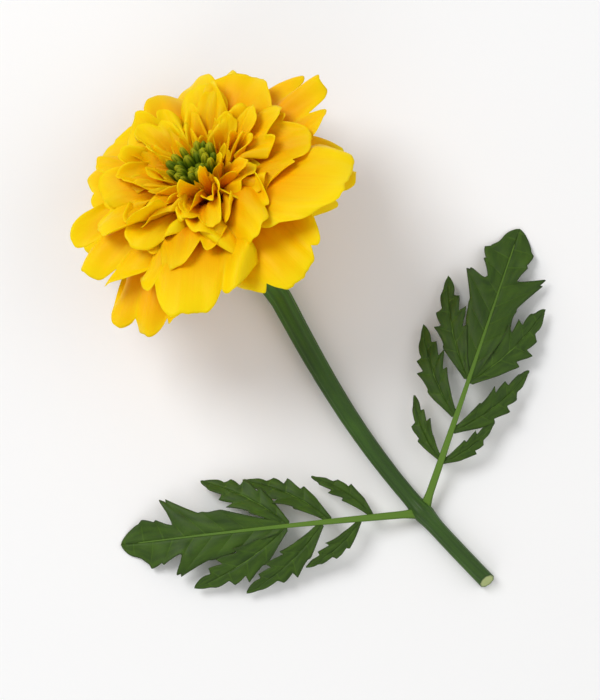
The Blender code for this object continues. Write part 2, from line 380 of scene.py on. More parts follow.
calyxFinish = {
    "skin": (0.15, 0.34, 0.012),
    "rib": (0.27, 0.46, 0.03),
    "foot": (0.065, 0.17, 0.012),
    "tooth": (0.075, 0.028, 0.014),
    "blush": (0.42, 0.20, 0.08),
    "specular": 0.3, "soft": (0.15, (0.6, 1.0, 0.1), 0.8 * mm),
}


def makeCalyxMaterial():
    look = calyxFinish
    material, tree, shader = newMaterial("calyxSkin")
    along, across, point = attributes(tree, "along", "across", "point")
    ribs = (across * math.pi).cos().size() ** 8.0
    speck = tree.noise(tree.vector(across * 3.0, along * 10.0), 6.0, 4.0)
    colour = tree.mix(along.step(-0.1, 0.5), look["foot"], look["skin"])
    colour = tree.mix(ribs * 0.7, colour, look["rib"])
    colour = tree.mix((speck - 0.5).atLeast(0.0) * 3.0 * along, colour, look["blush"])
    colour = tree.mix(point.step(0.3, 0.95) * 0.9, colour, look["tooth"])
    setShader(tree, shader, look, {
        "Base Color": colour,
        "Roughness": 0.36 + speck * 0.18,
        "Normal": tree.bump(0.3, 0.1 * mm, speck + ribs * 0.5),
    })
    return material


stemFinish = {
    "neck": (0.075, 0.20, 0.012),
    "body": (0.035, 0.085, 0.010),
    "groove": (0.020, 0.050, 0.008),
    "pith": (0.45, 0.52, 0.20),
    "specular": 0.3, "soft": (0.08, (0.5, 1.0, 0.1), 0.8 * mm),
}


def makeStemMaterial():
    look = stemFinish
    material, tree, shader = newMaterial("stemSkin")
    along, across, cut = attributes(tree, "along", "across", "cut")
    fibre = tree.noise(tree.vector(across * 60.0, along * 9.0), 1.0, 3.0)
    patch = tree.noise(tree.vector(across * 2.0, along * 7.0), 1.0, 2.0)
    ribs = (across * math.pi * 9.0).cos().size()
    colour = tree.mix(along.step(0.0, 0.4), look["neck"], look["body"])
    colour = tree.mix((1.0 - ribs) * 0.6, colour, look["groove"])
    colour = tree.mix((patch - 0.45).atLeast(0.0) * 1.1, colour, look["neck"])
    colour = tree.mix(cut, colour, look["pith"])
    setShader(tree, shader, look, {
        "Base Color": colour,
        "Roughness": 0.34 + fibre * 0.25,
        "Normal": tree.bump(0.4, 0.1 * mm, fibre),
    })
    return material


leafFinish = {
    "blade": (0.024, 0.056, 0.005),
    "sheenAndBranchVein": (0.070, 0.145, 0.009),
    "vein": (0.125, 0.24, 0.028),
    "edge": (0.022, 0.030, 0.010),
    "specular": 0.22, "soft": (0.08, (0.4, 1.0, 0.1), 0.6 * mm),
}


def makeLeafMaterial():
    look = leafFinish
    material, tree, shader = newMaterial("leafSkin")
    along, across, vein, tone = attributes(tree, "along", "across", "vein", "tone")
    off = across.size()
    middle = 1.0 - off.step(0.015, 0.07)
    branch = ((vein - 0.32).fraction() - 0.5).size()
    branch = (1.0 - branch.step(0.0, 0.08)) * (1.0 - off.step(0.55, 0.9))
    cloud = tree.noise(tree.vector(across * 2.0, along * 4.0, tone * 11.0), 1.5, 4.0)
    pores = tree.noise(tree.vector(across * 30.0, along * 90.0, tone * 11.0), 1.0, 2.0)
    # lighter patches from the cloud noise: partly random tone, partly painted sheen; the same light
    # green also colours the branch veins below
    colour = tree.mix((cloud - 0.3).atLeast(0.0) * 1.4, look["blade"], look["sheenAndBranchVein"])
    colour = tree.mix(off.step(0.9, 1.0) * 0.5, colour, look["edge"])
    colour = tree.mix(branch * 0.45, colour, look["sheenAndBranchVein"])
    pale = middle * (0.92 - along.step(0.3, 1.1) * 0.35 - cloud * 0.2)
    colour = tree.mix(pale, colour, look["vein"])
    setShader(tree, shader, look, {
        "Base Color": colour,
        "Roughness": 0.44 + cloud * 0.16,
        "Normal": tree.bump(0.4, 0.12 * mm, cloud + pores * 0.4 - branch * 0.3),
    })
    return material


petalMaterials = {
    "petal": makePetalMaterial("raySkin", petalFinish["rayWarmth"], 0.0),
    "crest": makePetalMaterial("crestSkin", petalFinish["crestWarmth"], petalFinish["crestOlive"]),
}
budMaterial = makeBudMaterial()
calyxMaterial = makeCalyxMaterial()
stemMaterial = makeStemMaterial()
leafMaterial = makeLeafMaterial()
print("finishes made")


# florets: a claw up inside the calyx, then a blade bent along the whorl's own surface
petalInputs = {
    "columns": 25, "rows": 34, "clawRows": 4,
    "ringLow": 3.35 * mm, "ringMouth": 4.9 * mm,
    "turnMouth": 0.2, "turnNeck": 1.2, "turnTip": 1.8, "neckRun": 5.5 * mm,
    "blade": 26 * mm, "width": 18 * mm, "claw": 1.6 * mm, "sector": 1.0,
    "azimuth": 0.0, "lean": 0.0, "twist": 0.0,
    "clawRoll": 1.5, "cup": 0.3, "curl": 0.0, "curlFrom": 0.62,
    "pleat": 0.5 * mm, "crease": 0.3 * mm, "creases": 12.0,
    "ruffle": 1.0 * mm, "waves": 2.0, "wobble": 1.0 * mm,
    "lobes": 3.0, "notch": 0.10, "frill": 0.17, "roundness": 0.3, "taper": 2.6, "fan": 0.8,
    "thickness": 0.28 * mm, "clawThin": 0.45, "rimThin": 0.7, "seed": 1,
}


def makePetalTree():
    tree = ShapeTree("petal", petalInputs)
    at = tree.inputs
    mesh, column, row = tree.grid(at["columns"], at["rows"])
    across = 1.0 - column / (at["columns"] - 1.0) * 2.0
    off = across.size()
    phase, phaseTwo = tree.phase(1), tree.phase(2)

    # the fan's end: rounded at the sides, notched between its lobes and softly uneven
    lobeTurn = across * at["lobes"] * (math.pi / 2) + tree.chance(-0.6, 0.6, 3)
    gap = 1.0 - lobeTurn.cos().size()
    frill = tree.noise(tree.vector(across * 2.6, phase, 0.0), 1.0, 2.0, 0.45) - 0.5
    slant = tree.chance(-0.06, 0.06, 5)
    edge = 1.0 - at["roundness"] * off ** at["taper"] - at["notch"] * gap ** 2.6
    edge = edge + frill * at["frill"] + across * slant

    clawSpan = lie["calyxHeight"] - lie["floretBase"]
    spread = at["ringMouth"] - at["ringLow"]
    clawLength = (spread * spread + clawSpan ** 2) ** 0.5
    bladeRows = at["rows"] - 1.0 - at["clawRows"]

    def arcAt(rowField):
        inClaw = (rowField / at["clawRows"]).atMost(1.0).atLeast(0.0)
        share = ((rowField - at["clawRows"]) / bladeRows).atLeast(0.0)
        return inClaw * clawLength + at["blade"] * share * edge, share

    arc, along = arcAt(row)
    arcBefore, _ = arcAt((row - 1.0).atLeast(0.0))

    def angleAt(arcField):
        past = arcField - clawLength
        inBlade = past.step(-0.2 * mm, 0.2 * mm)
        opening = past.step(0.0, at["neckRun"])
        later = ((past - at["neckRun"]) / (at["blade"] - at["neckRun"])).atLeast(0.0).atMost(1.0)
        bend = between(at["turnMouth"], at["turnNeck"], opening)
        bend = bend + (at["turnTip"] - at["turnNeck"]) * later
        nearTip = (later - at["curlFrom"]).atLeast(0.0) / (1.0 - at["curlFrom"])
        bend = bend + at["curl"] * nearTip ** 2.0
        stalkAngle = (spread / clawSpan).math("ARCTANGENT")
        return stalkAngle + (bend - stalkAngle) * inBlade

    length = arc - arcBefore
    middle = angleAt((arc + arcBefore) / 2.0)
    radius = at["ringLow"] + tree.total(middle.sin() * length, column)
    height = lie["floretBase"] + tree.total(middle.cos() * length, column)
    angle = angleAt(arc)

    # half width, kept inside the floret's own share of the ring
    stalk = at["claw"] * radius / at["ringMouth"]
    full = between(stalk, at["width"], along.step(0.09, at["fan"]))
    half = full.atMost(radius * at["sector"]) / 2.0

    # rolled across: a near tube at the claw, then the blade's own cup
    roll = between(at["clawRoll"], at["cup"], along.step(0.03, 0.3))
    rolled = across * roll
    sideways = half * across * (1.0 - rolled * rolled / 6.0)
    rise = half * across * rolled / 2.0 * (1.0 - rolled * rolled / 12.0)

    # each lobe bulges and each notch is a valley; finer creases fan out from the claw
    pleat = at["pleat"] * along ** 1.3 * (lobeTurn * 2.0).cos()
    fold = (across * at["creases"] + phase + (across * 5.0 + phaseTwo).sin()).sin()
    crease = at["crease"] * along ** 0.8 * fold
    side = across.math("SIGN")
    wave = (along * at["waves"] * 2 * math.pi + side * phaseTwo + across * 1.5).sin()
    ruffle = at["ruffle"] * along * off ** 2.2 * wave
    tipWave = (across * 5.0 + phaseTwo).sin() * along ** 4.0 * at["ruffle"] * 0.6
    lump = tree.noise(tree.vector(across * 0.9 + phase, along * 1.3, phaseTwo), 1.0, 0.0) - 0.5
    crinkle = tree.noise(tree.vector(across * 2.1, along * 2.6 + phase, phaseTwo), 1.0, 1.0) - 0.5
    wobble = at["wobble"] * along * (lump * 2.6 + crinkle * 1.5)
    push = rise + pleat + crease + ruffle + tipWave + wobble
    push = push + at["twist"] * across * along * half

    around = sideways / radius + at["lean"] * along * along + at["azimuth"]
    reach = (radius - push * angle.cos()).atLeast(0.25 * mm)
    position = tree.vector(reach * around.cos(), reach * around.sin(), height + push * angle.sin())
    mesh = tree.place(mesh, position)
    mesh = tree.remember(mesh, "along", along)
    mesh = tree.remember(mesh, "across", across)
    mesh = tree.remember(mesh, "tone", tree.chance(0.0, 1.0, 4))
    rim = (off ** 8.0).atLeast(along ** 14.0)
    thickness = at["thickness"] * between(at["clawThin"], 1.0, along.step(0.0, 0.25))
    return tree.finish(tree.thicken(mesh, thickness * (1.0 - rim * at["rimThin"])))


# one entry for each whorl, from the outside in, in mm and degrees. upper leans the florets of the
# bloom's upper side, out if it is above 0; special changes single florets, counted from 1. The
# fill whorls have no node of their own: they stand in the gaps between the frame's florets
whorls = {
    "ray_outer": {
        "slot": "petal", "rings": (3.35, 4.9), "claw": 1.6, "turn": (14, 88, 128), "upper": 0,
        "azimuths": (93, 155, 214, 271, 331, 28),
        "widths": (22, 21, 21, 21, 21, 22), "blades": (28, 26, 26, 25.5, 26, 29),
        "grid": (61, 54), "cup": -0.35, "curl": 0.1, "twist": 0.10, "fan": 0.72, "share": 1.05,
        "pleat": 0.9, "crease": 0.32, "ruffle": 1.6, "waves": 1.2, "wobble": 1.4, "thickness": 0.22,
        "lobes": (2, 3, 2, 2, 2, 2), "notch": 0.11, "roundness": 0.28, "taper": 3.0,
        "special": {
            2: {"notch": 0.2},
            3: {"lobes": 1.0, "taper": 1.3, "roundness": 0.6},
            5: {"lobes": 3.0, "notch": 0.17, "waves": 2.2},
            6: {"lobes": 3.0, "waves": 2.0},
        },
    },
    "ray_upper": {
        "slot": "petal", "rings": (3.35, 4.45), "claw": 1.5, "turn": (13, 70, 102), "upper": 0,
        "azimuths": (126, 184, 242, 301, 359, 60),
        "widths": (27, 23, 23, 22, 23, 26), "blades": (30, 27, 27, 26, 26.5, 30.5),
        "grid": (61, 54), "cup": -0.25, "curl": 0.35, "twist": -0.12, "fan": 0.72, "share": 1.1,
        "pleat": 0.9, "crease": 0.34, "ruffle": 1.7, "waves": 1.2, "wobble": 1.6, "thickness": 0.22,
        "lobes": (1, 3, 2, 2, 2, 2), "notch": 0.10, "roundness": 0.30, "taper": 2.8,
        "special": {
            2: {"notch": 0.2, "roundness": 0.22},
            3: {"notch": 0.17},
            5: {"lobes": 3.0, "notch": 0.19, "waves": 2.2},
            6: {"notch": 0.16, "waves": 1.8},
        },
    },
    "ray_middle": {
        "slot": "petal", "rings": (2.65, 3.75), "claw": 1.0, "turn": (12, 57, 86), "upper": 9,
        "azimuths": (96, 150, 203, 255, 305, 356, 45),
        "widths": (16, 18, 22, 21, 20, 20, 20), "blades": (23, 22, 22, 22, 21, 22, 22),
        "grid": (47, 44), "cup": 0.1, "curl": 0.15, "twist": 0.16, "fan": 0.62, "share": 1.35,
        "pleat": 0.6, "crease": 0.28, "ruffle": 2.2, "waves": 1.6, "wobble": 1.7, "thickness": 0.2,
        "lobes": (2, 2, 1, 2, 2, 2, 2), "notch": 0.16, "roundness": 0.30, "taper": 2.6,
    },
    "fill_ruffle": {
        "slot": "petal", "rings": (2.65, 3.55), "claw": 0.8, "turn": (12, 50, 79), "upper": 6,
        "azimuths": (73, 123, 177, 229, 281, 331, 20),
        "widths": (14, 15, 19, 20, 19, 18, 15), "blades": (18, 15, 20.5, 20, 20, 20, 20),
        "grid": (39, 38), "cup": 0.3, "curl": 0.2, "twist": -0.18, "fan": 0.6, "share": 1.15,
        "pleat": 0.5, "crease": 0.26, "ruffle": 2.2, "waves": 1.7, "wobble": 1.8, "thickness": 0.2,
        "lobes": (2, 2, 2, 1, 2, 2, 2), "notch": 0.18, "roundness": 0.32, "taper": 2.4,
    },
    "ray_inner": {
        "slot": "petal", "rings": (2.65, 3.4), "claw": 0.9, "turn": (12, 44, 68), "upper": 4,
        "azimuths": (71, 122, 176, 229, 280, 330, 20),
        "widths": (13, 13, 15, 15, 14, 10, 9), "blades": (17.5, 13.5, 18, 18.5, 18, 17, 17.5),
        "grid": (37, 38), "cup": 0.6, "curl": 0.0, "twist": 0.2, "fan": 0.58, "share": 1.1,
        "pleat": 0.45, "crease": 0.24, "ruffle": 1.9, "waves": 1.6, "wobble": 1.7, "thickness": 0.2,
        "lobes": (2, 1, 2, 2, 2, 1, 2), "notch": 0.15, "roundness": 0.36, "taper": 2.2,
    },
    "fill_crest": {
        "slot": "crest", "rings": (2.3, 3.05), "claw": 0.7, "turn": (12, 37, 54), "upper": 2,
        "azimuths": tuple(17 + 36 * n for n in range(10)),
        "widths": (7, 6, 5.5, 6.5, 5) * 2,
        "blades": (15, 14.5, 16, 15, 15, 15.5, 15, 14.5, 15, 14.5),
        "grid": (23, 32), "cup": 1.0, "curl": 0.1, "twist": 0.0, "fan": 0.6, "share": 1.25,
        "pleat": 0.25, "crease": 0.12, "ruffle": 0.9, "waves": 1.2, "wobble": 1.5, "thickness": 0.2,
        "lobes": (2, 1, 1, 2, 1) * 2, "notch": 0.16, "roundness": 0.5, "taper": 1.7,
    },
    "crest_outer": {
        "slot": "crest", "rings": (2.0, 2.75), "claw": 0.65, "turn": (12, 32, 48), "upper": -12,
        "azimuths": (10, 50, 90, 130, 170, 210, 250, 290, 330),
        "widths": (5.4, 4.8, 5.8) * 3, "blades": (14.5, 15, 15, 14, 14.5, 14, 14, 14, 14),
        "grid": (23, 32), "cup": 1.2, "curl": 0.0, "twist": 0.0, "fan": 0.6, "share": 1.25,
        "pleat": 0.2, "crease": 0.1, "ruffle": 0.8, "waves": 1.2, "wobble": 1.4, "thickness": 0.2,
        "lobes": (1, 2, 1) * 3, "notch": 0.15, "roundness": 0.55, "taper": 1.6,
    },
    "fill_centre": {
        "slot": "crest", "rings": (2.0, 2.6), "claw": 0.55, "turn": (12, 26, 36), "upper": -10,
        "azimuths": tuple(5 + 360 / 11 * n for n in range(11)),
        "widths": (4.0,) * 11, "blades": (12.5, 11.5, 11, 11, 11.5, 12, 13, 13, 13, 12.5, 12.5),
        "grid": (19, 28), "cup": 1.3, "curl": 0.1, "twist": 0.0, "fan": 0.55, "share": 1.25,
        "pleat": 0.1, "crease": 0.06, "ruffle": 0.5, "waves": 1.1, "wobble": 1.2, "thickness": 0.2,
        "lobes": (1,) * 11, "notch": 0.1, "roundness": 0.62, "taper": 1.4,
    },
    "crest_inner": {
        "slot": "crest", "rings": (2.0, 2.4), "claw": 0.55, "turn": (12, 20, 24), "upper": -5,
        "azimuths": (30, 70, 110, 150, 190, 230, 270, 310, 350),
        "widths": (3.4, 3.8, 3.2) * 3, "blades": (11, 10, 10, 10.5, 11.5, 12, 12.5, 12, 11.5),
        "grid": (19, 28), "cup": 1.5, "curl": 0.0, "twist": 0.0, "fan": 0.5, "share": 1.25,
        "pleat": 0.1, "crease": 0.05, "ruffle": 0.4, "waves": 1.1, "wobble": 1.0, "thickness": 0.2,
        "lobes": (1,) * 9, "notch": 0.1, "roundness": 0.66, "taper": 1.4,
    },
}


# how far single florets stray from their whorl's values; crest florets turn and bend more loosely
petalLoose = {
    "tilt": (-0.05, 0.05), "lean": (-0.07, 0.07), "twist": (-0.1, 0.1), "cup": (-0.2, 0.2),
    "curl": (-0.4, 0.12), "waves": (0.8, 1.3), "notch": (0.7, 1.3),
    "crestTurn": 0.05, "crestBend": 2.0,
}


def petalValues(whorl, number, chance):
    def stray(key):
        return chance.uniform(*petalLoose[key])

    low, mouth = whorl["rings"]
    first, second, last = (math.radians(a) for a in whorl["turn"])
    azimuth = math.radians(whorl["azimuths"][number])
    upper = math.radians(whorl["upper"]) * max(0.0, math.sin(azimuth))
    tilt = stray("tilt") + upper
    columns, rows = whorl["grid"]
    inCrest = whorl["slot"] == "crest"
    turnLoose = petalLoose["crestTurn"] if inCrest else 0.0
    bendLoose = petalLoose["crestBend"] if inCrest else 1.0
    lengths = ("claw", "pleat", "crease", "ruffle", "wobble", "thickness")
    values = {key: whorl[key] * mm for key in lengths}
    values.update({key: whorl[key] for key in ("roundness", "taper", "fan")})
    values.update({
        "columns": columns, "rows": rows, "ringLow": low * mm, "ringMouth": mouth * mm,
        "turnMouth": first, "turnNeck": second + tilt, "turnTip": last + 2 * tilt,
        "blade": whorl["blades"][number] * mm, "width": whorl["widths"][number] * mm,
        "sector": whorl["share"] * math.tau / len(whorl["azimuths"]),
        "azimuth": azimuth + chance.uniform(-1, 1) * turnLoose,
        "lean": stray("lean") + chance.uniform(-2, 2) * turnLoose,
        "twist": whorl["twist"] + stray("twist") * bendLoose,
        "cup": whorl["cup"] + stray("cup"), "curl": whorl["curl"] + stray("curl") * bendLoose,
        "waves": whorl["waves"] * stray("waves"), "notch": whorl["notch"] * stray("notch"),
        "lobes": float(whorl["lobes"][number]), "seed": chance.randrange(1000),
    })
    values.update(whorl.get("special", {}).get(number + 1, {}))
    return values


# what would sink into the table bends flat along it instead
def restOnTable(piece):
    softness = lie["softness"]
    for vertex in piece.data.vertices:
        if vertex.co.z < softness:
            vertex.co.z = softness * math.exp(vertex.co.z / softness - 1)


def settle(piece, slotName, node=None):
    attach(piece, "root")
    if node:
        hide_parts(node)


def makeFlorets():
    petalTree = makePetalTree()
    for order, (kind, whorl) in enumerate(whorls.items()):
        slotName = whorl["slot"]
        finish = petalMaterials[slotName]
        for number in range(len(whorl["azimuths"])):
            chance = random.Random(100 * order + number + 1)
            node = f"{kind}_{number + 1:02d}"
            values = petalValues(whorl, number, chance)
            piece = grow("look_" + node, petalTree, values, finish, bloomFrame)
            restOnTable(piece)
            settle(piece, slotName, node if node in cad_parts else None)
        print("whorl", kind, "grown")


makeFlorets()


# unopened florets in the middle
budInputs = {
    "columns": 26, "rows": 22, "azimuth": 0.0, "out": 0.5, "clawShare": 0.25,
    "footOut": 1.35 * mm, "mouthOut": 0.5 * mm, "headOut": 3.1 * mm,
    "headRadius": 1.12 * mm, "stalkRadius": 0.4 * mm, "blade": 11.5 * mm, "seed": 1,
    "closeFrom": 0.74, "lobes": 5.0, "lobeDepth": 0.34, "dimple": 0.35 * mm,
}
budHeads = {
    "count": 28, "reach": 4.9 * mm, "inFrame": 11, "tries": 60, "seed": 7,
    "radii": (0.75, 1.1), "blades": (10.2, 11.8), "bladeLoose": (-1.1, 0.9),
}


def makeBudTree():
    tree = ShapeTree("bud", budInputs)
    at = tree.inputs
    mesh, column, row = tree.grid(at["columns"], at["rows"])
    turn = column / (at["columns"] - 1.0) * math.tau
    share = row / (at["rows"] - 1.0)
    clawSpan = lie["calyxHeight"] - lie["floretBase"]
    blade = (share - at["clawShare"]).atLeast(0.0) / (1.0 - at["clawShare"])
    low = (share / at["clawShare"]).atMost(1.0)
    height = lie["floretBase"] + low * clawSpan + blade * at["blade"]
    out = at["out"] * (at["footOut"] + low * at["mouthOut"] + blade ** 1.25 * at["headOut"])

    # thin stalk, then a rounded head of folded lobes that close over its top
    head = blade.step(0.35, 0.7)
    swell = between(at["stalkRadius"], at["headRadius"], head)
    close = ((blade - at["closeFrom"]).atLeast(0.0) / (1.0 - at["closeFrom"])) ** 2.4
    around = swell * (1.0 - close).atLeast(0.0) ** 0.5 * row.atMost(1.0)
    ridge = (turn * at["lobes"] / 2.0 + tree.phase(1)).cos().size()
    around = around * (1.0 - at["lobeDepth"] * head * blade.step(0.5, 1.0) * (1.0 - ridge) ** 1.5)
    azimuth = at["azimuth"]
    x = out + around * turn.cos()
    y = around * turn.sin()
    position = tree.vector(
        x * azimuth.cos() - y * azimuth.sin(),
        x * azimuth.sin() + y * azimuth.cos(),
        height - at["dimple"] * share.step(0.93, 1.0),
    )
    mesh = tree.place(mesh, position)
    mesh = tree.remember(mesh, "along", blade)
    mesh = tree.remember(mesh, "across", turn / math.tau)
    mesh = tree.remember(mesh, "ridge", ridge)
    mesh = tree.remember(mesh, "tone", tree.chance(0.0, 1.0, 4))
    return tree.finish(tree.weld(mesh, seamGap))


# places of the heads: the frame's own first, then loose ones wherever there is room
def budPlaces():
    chance = random.Random(budHeads["seed"])
    golden = math.pi * (3 - math.sqrt(5))
    places = []
    for number in range(budHeads["inFrame"]):
        out = math.sqrt((number + 0.35) / budHeads["inFrame"])
        places.append((number * golden, out))
    while len(places) < budHeads["count"]:
        best = None
        for _ in range(budHeads["tries"]):
            turn, out = chance.uniform(0, math.tau), math.sqrt(chance.random()) * 1.02
            spot = Vector((out * math.cos(turn), out * math.sin(turn))) * budHeads["reach"]
            near = min((spot - Vector((o * math.cos(t), o * math.sin(t))) * budHeads["reach"]).length
                       for t, o in places)
            if best is None or near > best[0]:
                best = (near, turn, out)
        places.append((best[1], best[2]))
    return places


def makeBuds():
    budTree = makeBudTree()
    for number, (turn, out) in enumerate(budPlaces()):
        chance = random.Random(900 + number)
        values = {
            "azimuth": turn, "out": out, "seed": number,
            "headRadius": chance.uniform(*budHeads["radii"]) * mm,
            "blade": between(*budHeads["blades"], out) * mm
            + chance.uniform(*budHeads["bladeLoose"]) * mm,
        }
        node = f"disc_bud_{number + 1:02d}"
        piece = grow("look_" + node, budTree, values, budMaterial, bloomFrame)
        settle(piece, "bud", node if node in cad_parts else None)
    print("buds grown")


makeBuds()


# calyx: joined bracts, each with a keel and a pointed tip
calyxInputs = {
    "columns": 145, "rows": 60, "bracts": 8.0, "keel": 0.035, "tooth": 2.6 * mm,
    "wall": 0.5 * mm, "foot": 2.45 * mm, "belly": 6.3 * mm, "mouth": 6.0 * mm,
    "height": lie["calyxHeight"], "drop": 1.2 * mm, "outerRows": 0.6, "unevenRim": 1.6 * mm,
    "lump": 0.05, "flare": 0.5 * mm,
}


def makeCalyxTree():
    tree = ShapeTree("calyx", calyxInputs)
    at = tree.inputs
    mesh, column, row = tree.grid(at["columns"], at["rows"])
    turn = column / (at["columns"] - 1.0) * math.tau
    last = at["rows"] - 1.0
    turnRow = (last * at["outerRows"]).floor()

    # up the outer wall, over the rim and down the inner wall, back to the first row
    up = (row / turnRow).atMost(1.0)
    down = ((row - turnRow) / (last - turnRow)).atLeast(0.0)
    share = up - down
    inner = (row - turnRow).atLeast(0.0).atMost(1.0) * (last - row).atMost(1.0)

    bract = (turn * at["bracts"] / math.tau).fraction()
    keel = (turn * at["bracts"] / 2.0).sin().size()
    tooth = 1.0 - (bract * 2.0 - 1.0).size()
    uneven = tree.noise(tree.vector(turn.cos() * 2.0, turn.sin() * 2.0, 0.0), 1.0, 0.0) - 0.5
    rim = at["height"] - at["tooth"] * 0.7 + at["tooth"] * tooth ** 0.8 + uneven * at["unevenRim"]
    height = share * rim
    level = height / at["height"]
    radius = between(at["foot"], at["belly"], (level * 1.7).atMost(1.0).step(-0.35, 1.0) - 0.16)
    radius = radius + (at["mouth"] - at["belly"]) * level.step(0.6, 1.05)
    ribs = at["keel"] * (keel - 0.5) * level.step(0.04, 0.4)
    lump = tree.noise(tree.vector(turn.cos() * 2.0, turn.sin() * 2.0, level * 2.0), 1.3, 1.0) - 0.5
    radius = radius * (1.0 + ribs + lump * at["lump"]) - at["wall"] * inner
    radius = radius + level.step(0.92, 1.15) * at["flare"]
    height = height - at["drop"] * (1.0 - share)
    mesh = tree.place(mesh, tree.vector(radius * turn.cos(), radius * turn.sin(), height))
    mesh = tree.remember(mesh, "along", level)
    mesh = tree.remember(mesh, "across", turn * at["bracts"] / math.tau)
    mesh = tree.remember(mesh, "point", share.step(0.84, 1.0) * (0.65 + 0.35 * tooth))
    return tree.finish(tree.weld(mesh, seamGap))


def makeCalyx():
    piece = grow("look_calyx", makeCalyxTree(), {}, calyxMaterial, bloomFrame)
    settle(piece, "calyx", "calyx")
    print("calyx grown")


makeCalyx()


# stem: a ribbed rod that leaves the bloom on its axis, bends level and lies on the table
stemInputs = {
    "columns": 91, "rows": 200, "capRows": 4, "ribs": 9.0, "ribDepth": 0.09,
    "swell": 0.22, "swellLength": 2.2 * mm, "slant": 0.5, "slantRun": 3 * mm,
    "lump": 0.04, "lumpLength": 6 * mm,
}


def stemBend(distance):
    bend = lie["neckBend"] * lie["tilt"]
    angle = lie["tilt"] - min(distance, bend) / lie["neckBend"]
    level = max(0.0, distance - bend)
    sway = lie["sway"] * math.sin(math.pi * level / (lie["stemLength"] - bend))
    along = lie["neckBend"] * (math.sin(lie["tilt"]) - math.sin(angle)) + level
    return Vector((bloomBase.x + sway, bloomBase.y + along))


def makeStemTree():
    tree = ShapeTree("stem", stemInputs)
    at = tree.inputs
    mesh, column, row = tree.grid(at["columns"], at["rows"])
    turn = column / (at["columns"] - 1.0) * -math.tau
    last = at["rows"] - 1.0
    fromEnd = row.atMost(last - row)
    closing = (fromEnd / at["capRows"]).atMost(1.0) ** 0.5
    run = ((row - at["capRows"]) / (last - 2.0 * at["capRows"])).atLeast(0.0).atMost(1.0)
    top = -lie["receptacleTop"]
    distance = top + run * (lie["stemLength"] - top)

    # along the bend and then level, with the height of the centre line over the table
    bendRun = lie["neckBend"] * lie["tilt"]
    past = distance.atLeast(0.0)
    above = (-distance).atLeast(0.0)
    angle = lie["tilt"] - past.atMost(bendRun) / lie["neckBend"]
    level = (past - bendRun).atLeast(0.0)
    sway = (level / (lie["stemLength"] - bendRun) * math.pi).sin() * lie["sway"]

    thin = past.step(0.0, lie["stemLength"] / 1.3)
    radius = between(lie["neckRadius"], lie["cutRadius"], thin)
    fromNode = (distance - lie["nodeAt"]) / at["swellLength"]
    radius = radius * (1.0 + at["swell"] * tree.math("EXPONENT", -(fromNode ** 2.0)))
    centreHeight = lie["neckBend"] * (1.0 - angle.cos()) + radius
    flare = above.step(0.2 * mm, lie["receptacleTop"])
    radius = radius + (lie["receptacleRadius"] - lie["neckRadius"]) * flare
    groove = 1.0 - (turn * at["ribs"] / 2.0).sin().size()
    skin = tree.vector(turn.cos(), turn.sin(), distance / at["lumpLength"])
    lump = (tree.noise(skin, 1.5, 1.0) - 0.75) * at["lump"]
    radius = radius * (1.0 - at["ribDepth"] * groove ** 1.5 + lump) * closing

    # the cut is slanted
    shear = distance.step(lie["stemLength"] - at["slantRun"], lie["stemLength"]) * at["slant"]
    sideways, rise = radius * turn.cos(), radius * turn.sin()
    slide = -shear * rise
    y = lie["neckBend"] * (math.sin(lie["tilt"]) - angle.sin()) + level
    y = y - above * math.cos(lie["tilt"]) + rise * angle.sin() + slide * angle.cos()
    z = centreHeight + above * math.sin(lie["tilt"]) + rise * angle.cos() - slide * angle.sin()
    mesh = tree.place(mesh, tree.vector(sideways + sway, y, z))
    mesh = tree.remember(mesh, "along", past / lie["stemLength"])
    mesh = tree.remember(mesh, "across", turn / math.tau)
    mesh = tree.remember(mesh, "cut", (1.0 - closing.step(0.8, 0.95)) * run)
    return tree.finish(tree.weld(mesh, seamGap))


def makeStem():
    place = Matrix.Translation((bloomBase.x, bloomBase.y, 0.0))
    piece = grow("look_stem", makeStemTree(), {}, stemMaterial, place)
    settle(piece, "stem", "stem")
    print("stem grown")


makeStem()


# leaves: leaflets and a long end leaflet on one channelled stalk, arched over the table
leafShape = {
    "length": 57 * mm, "span": 14.5 * mm, "arch": 4.5 * mm, "rest": 0.12 * mm,
    "nodeHeight": 1.9 * mm, "nodeClear": 1.2 * mm,
}
leafletInputs = {
    "columns": 25, "rows": 90, "at": 12 * mm, "angle": 0.8, "side": 1.0,
    "length": 16 * mm, "half": 3.6 * mm, "teeth": 5.0, "toothDepth": 0.4, "toothPeak": 0.78,
    "hook": 0.8, "lobes": 0.0, "lobeDepth": 0.0, "lobePeak": 0.72, "sweep": 0.15,
    "fold": 0.12, "wave": 0.5 * mm, "quilt": 1.0 * mm, "groove": 0.22 * mm,
    "base": 0.16, "widest": 0.5, "tipTaper": 0.85, "clear": 0.04 * mm,
    "thickness": 0.3 * mm, "rimThin": 0.6, "seed": 1,
}
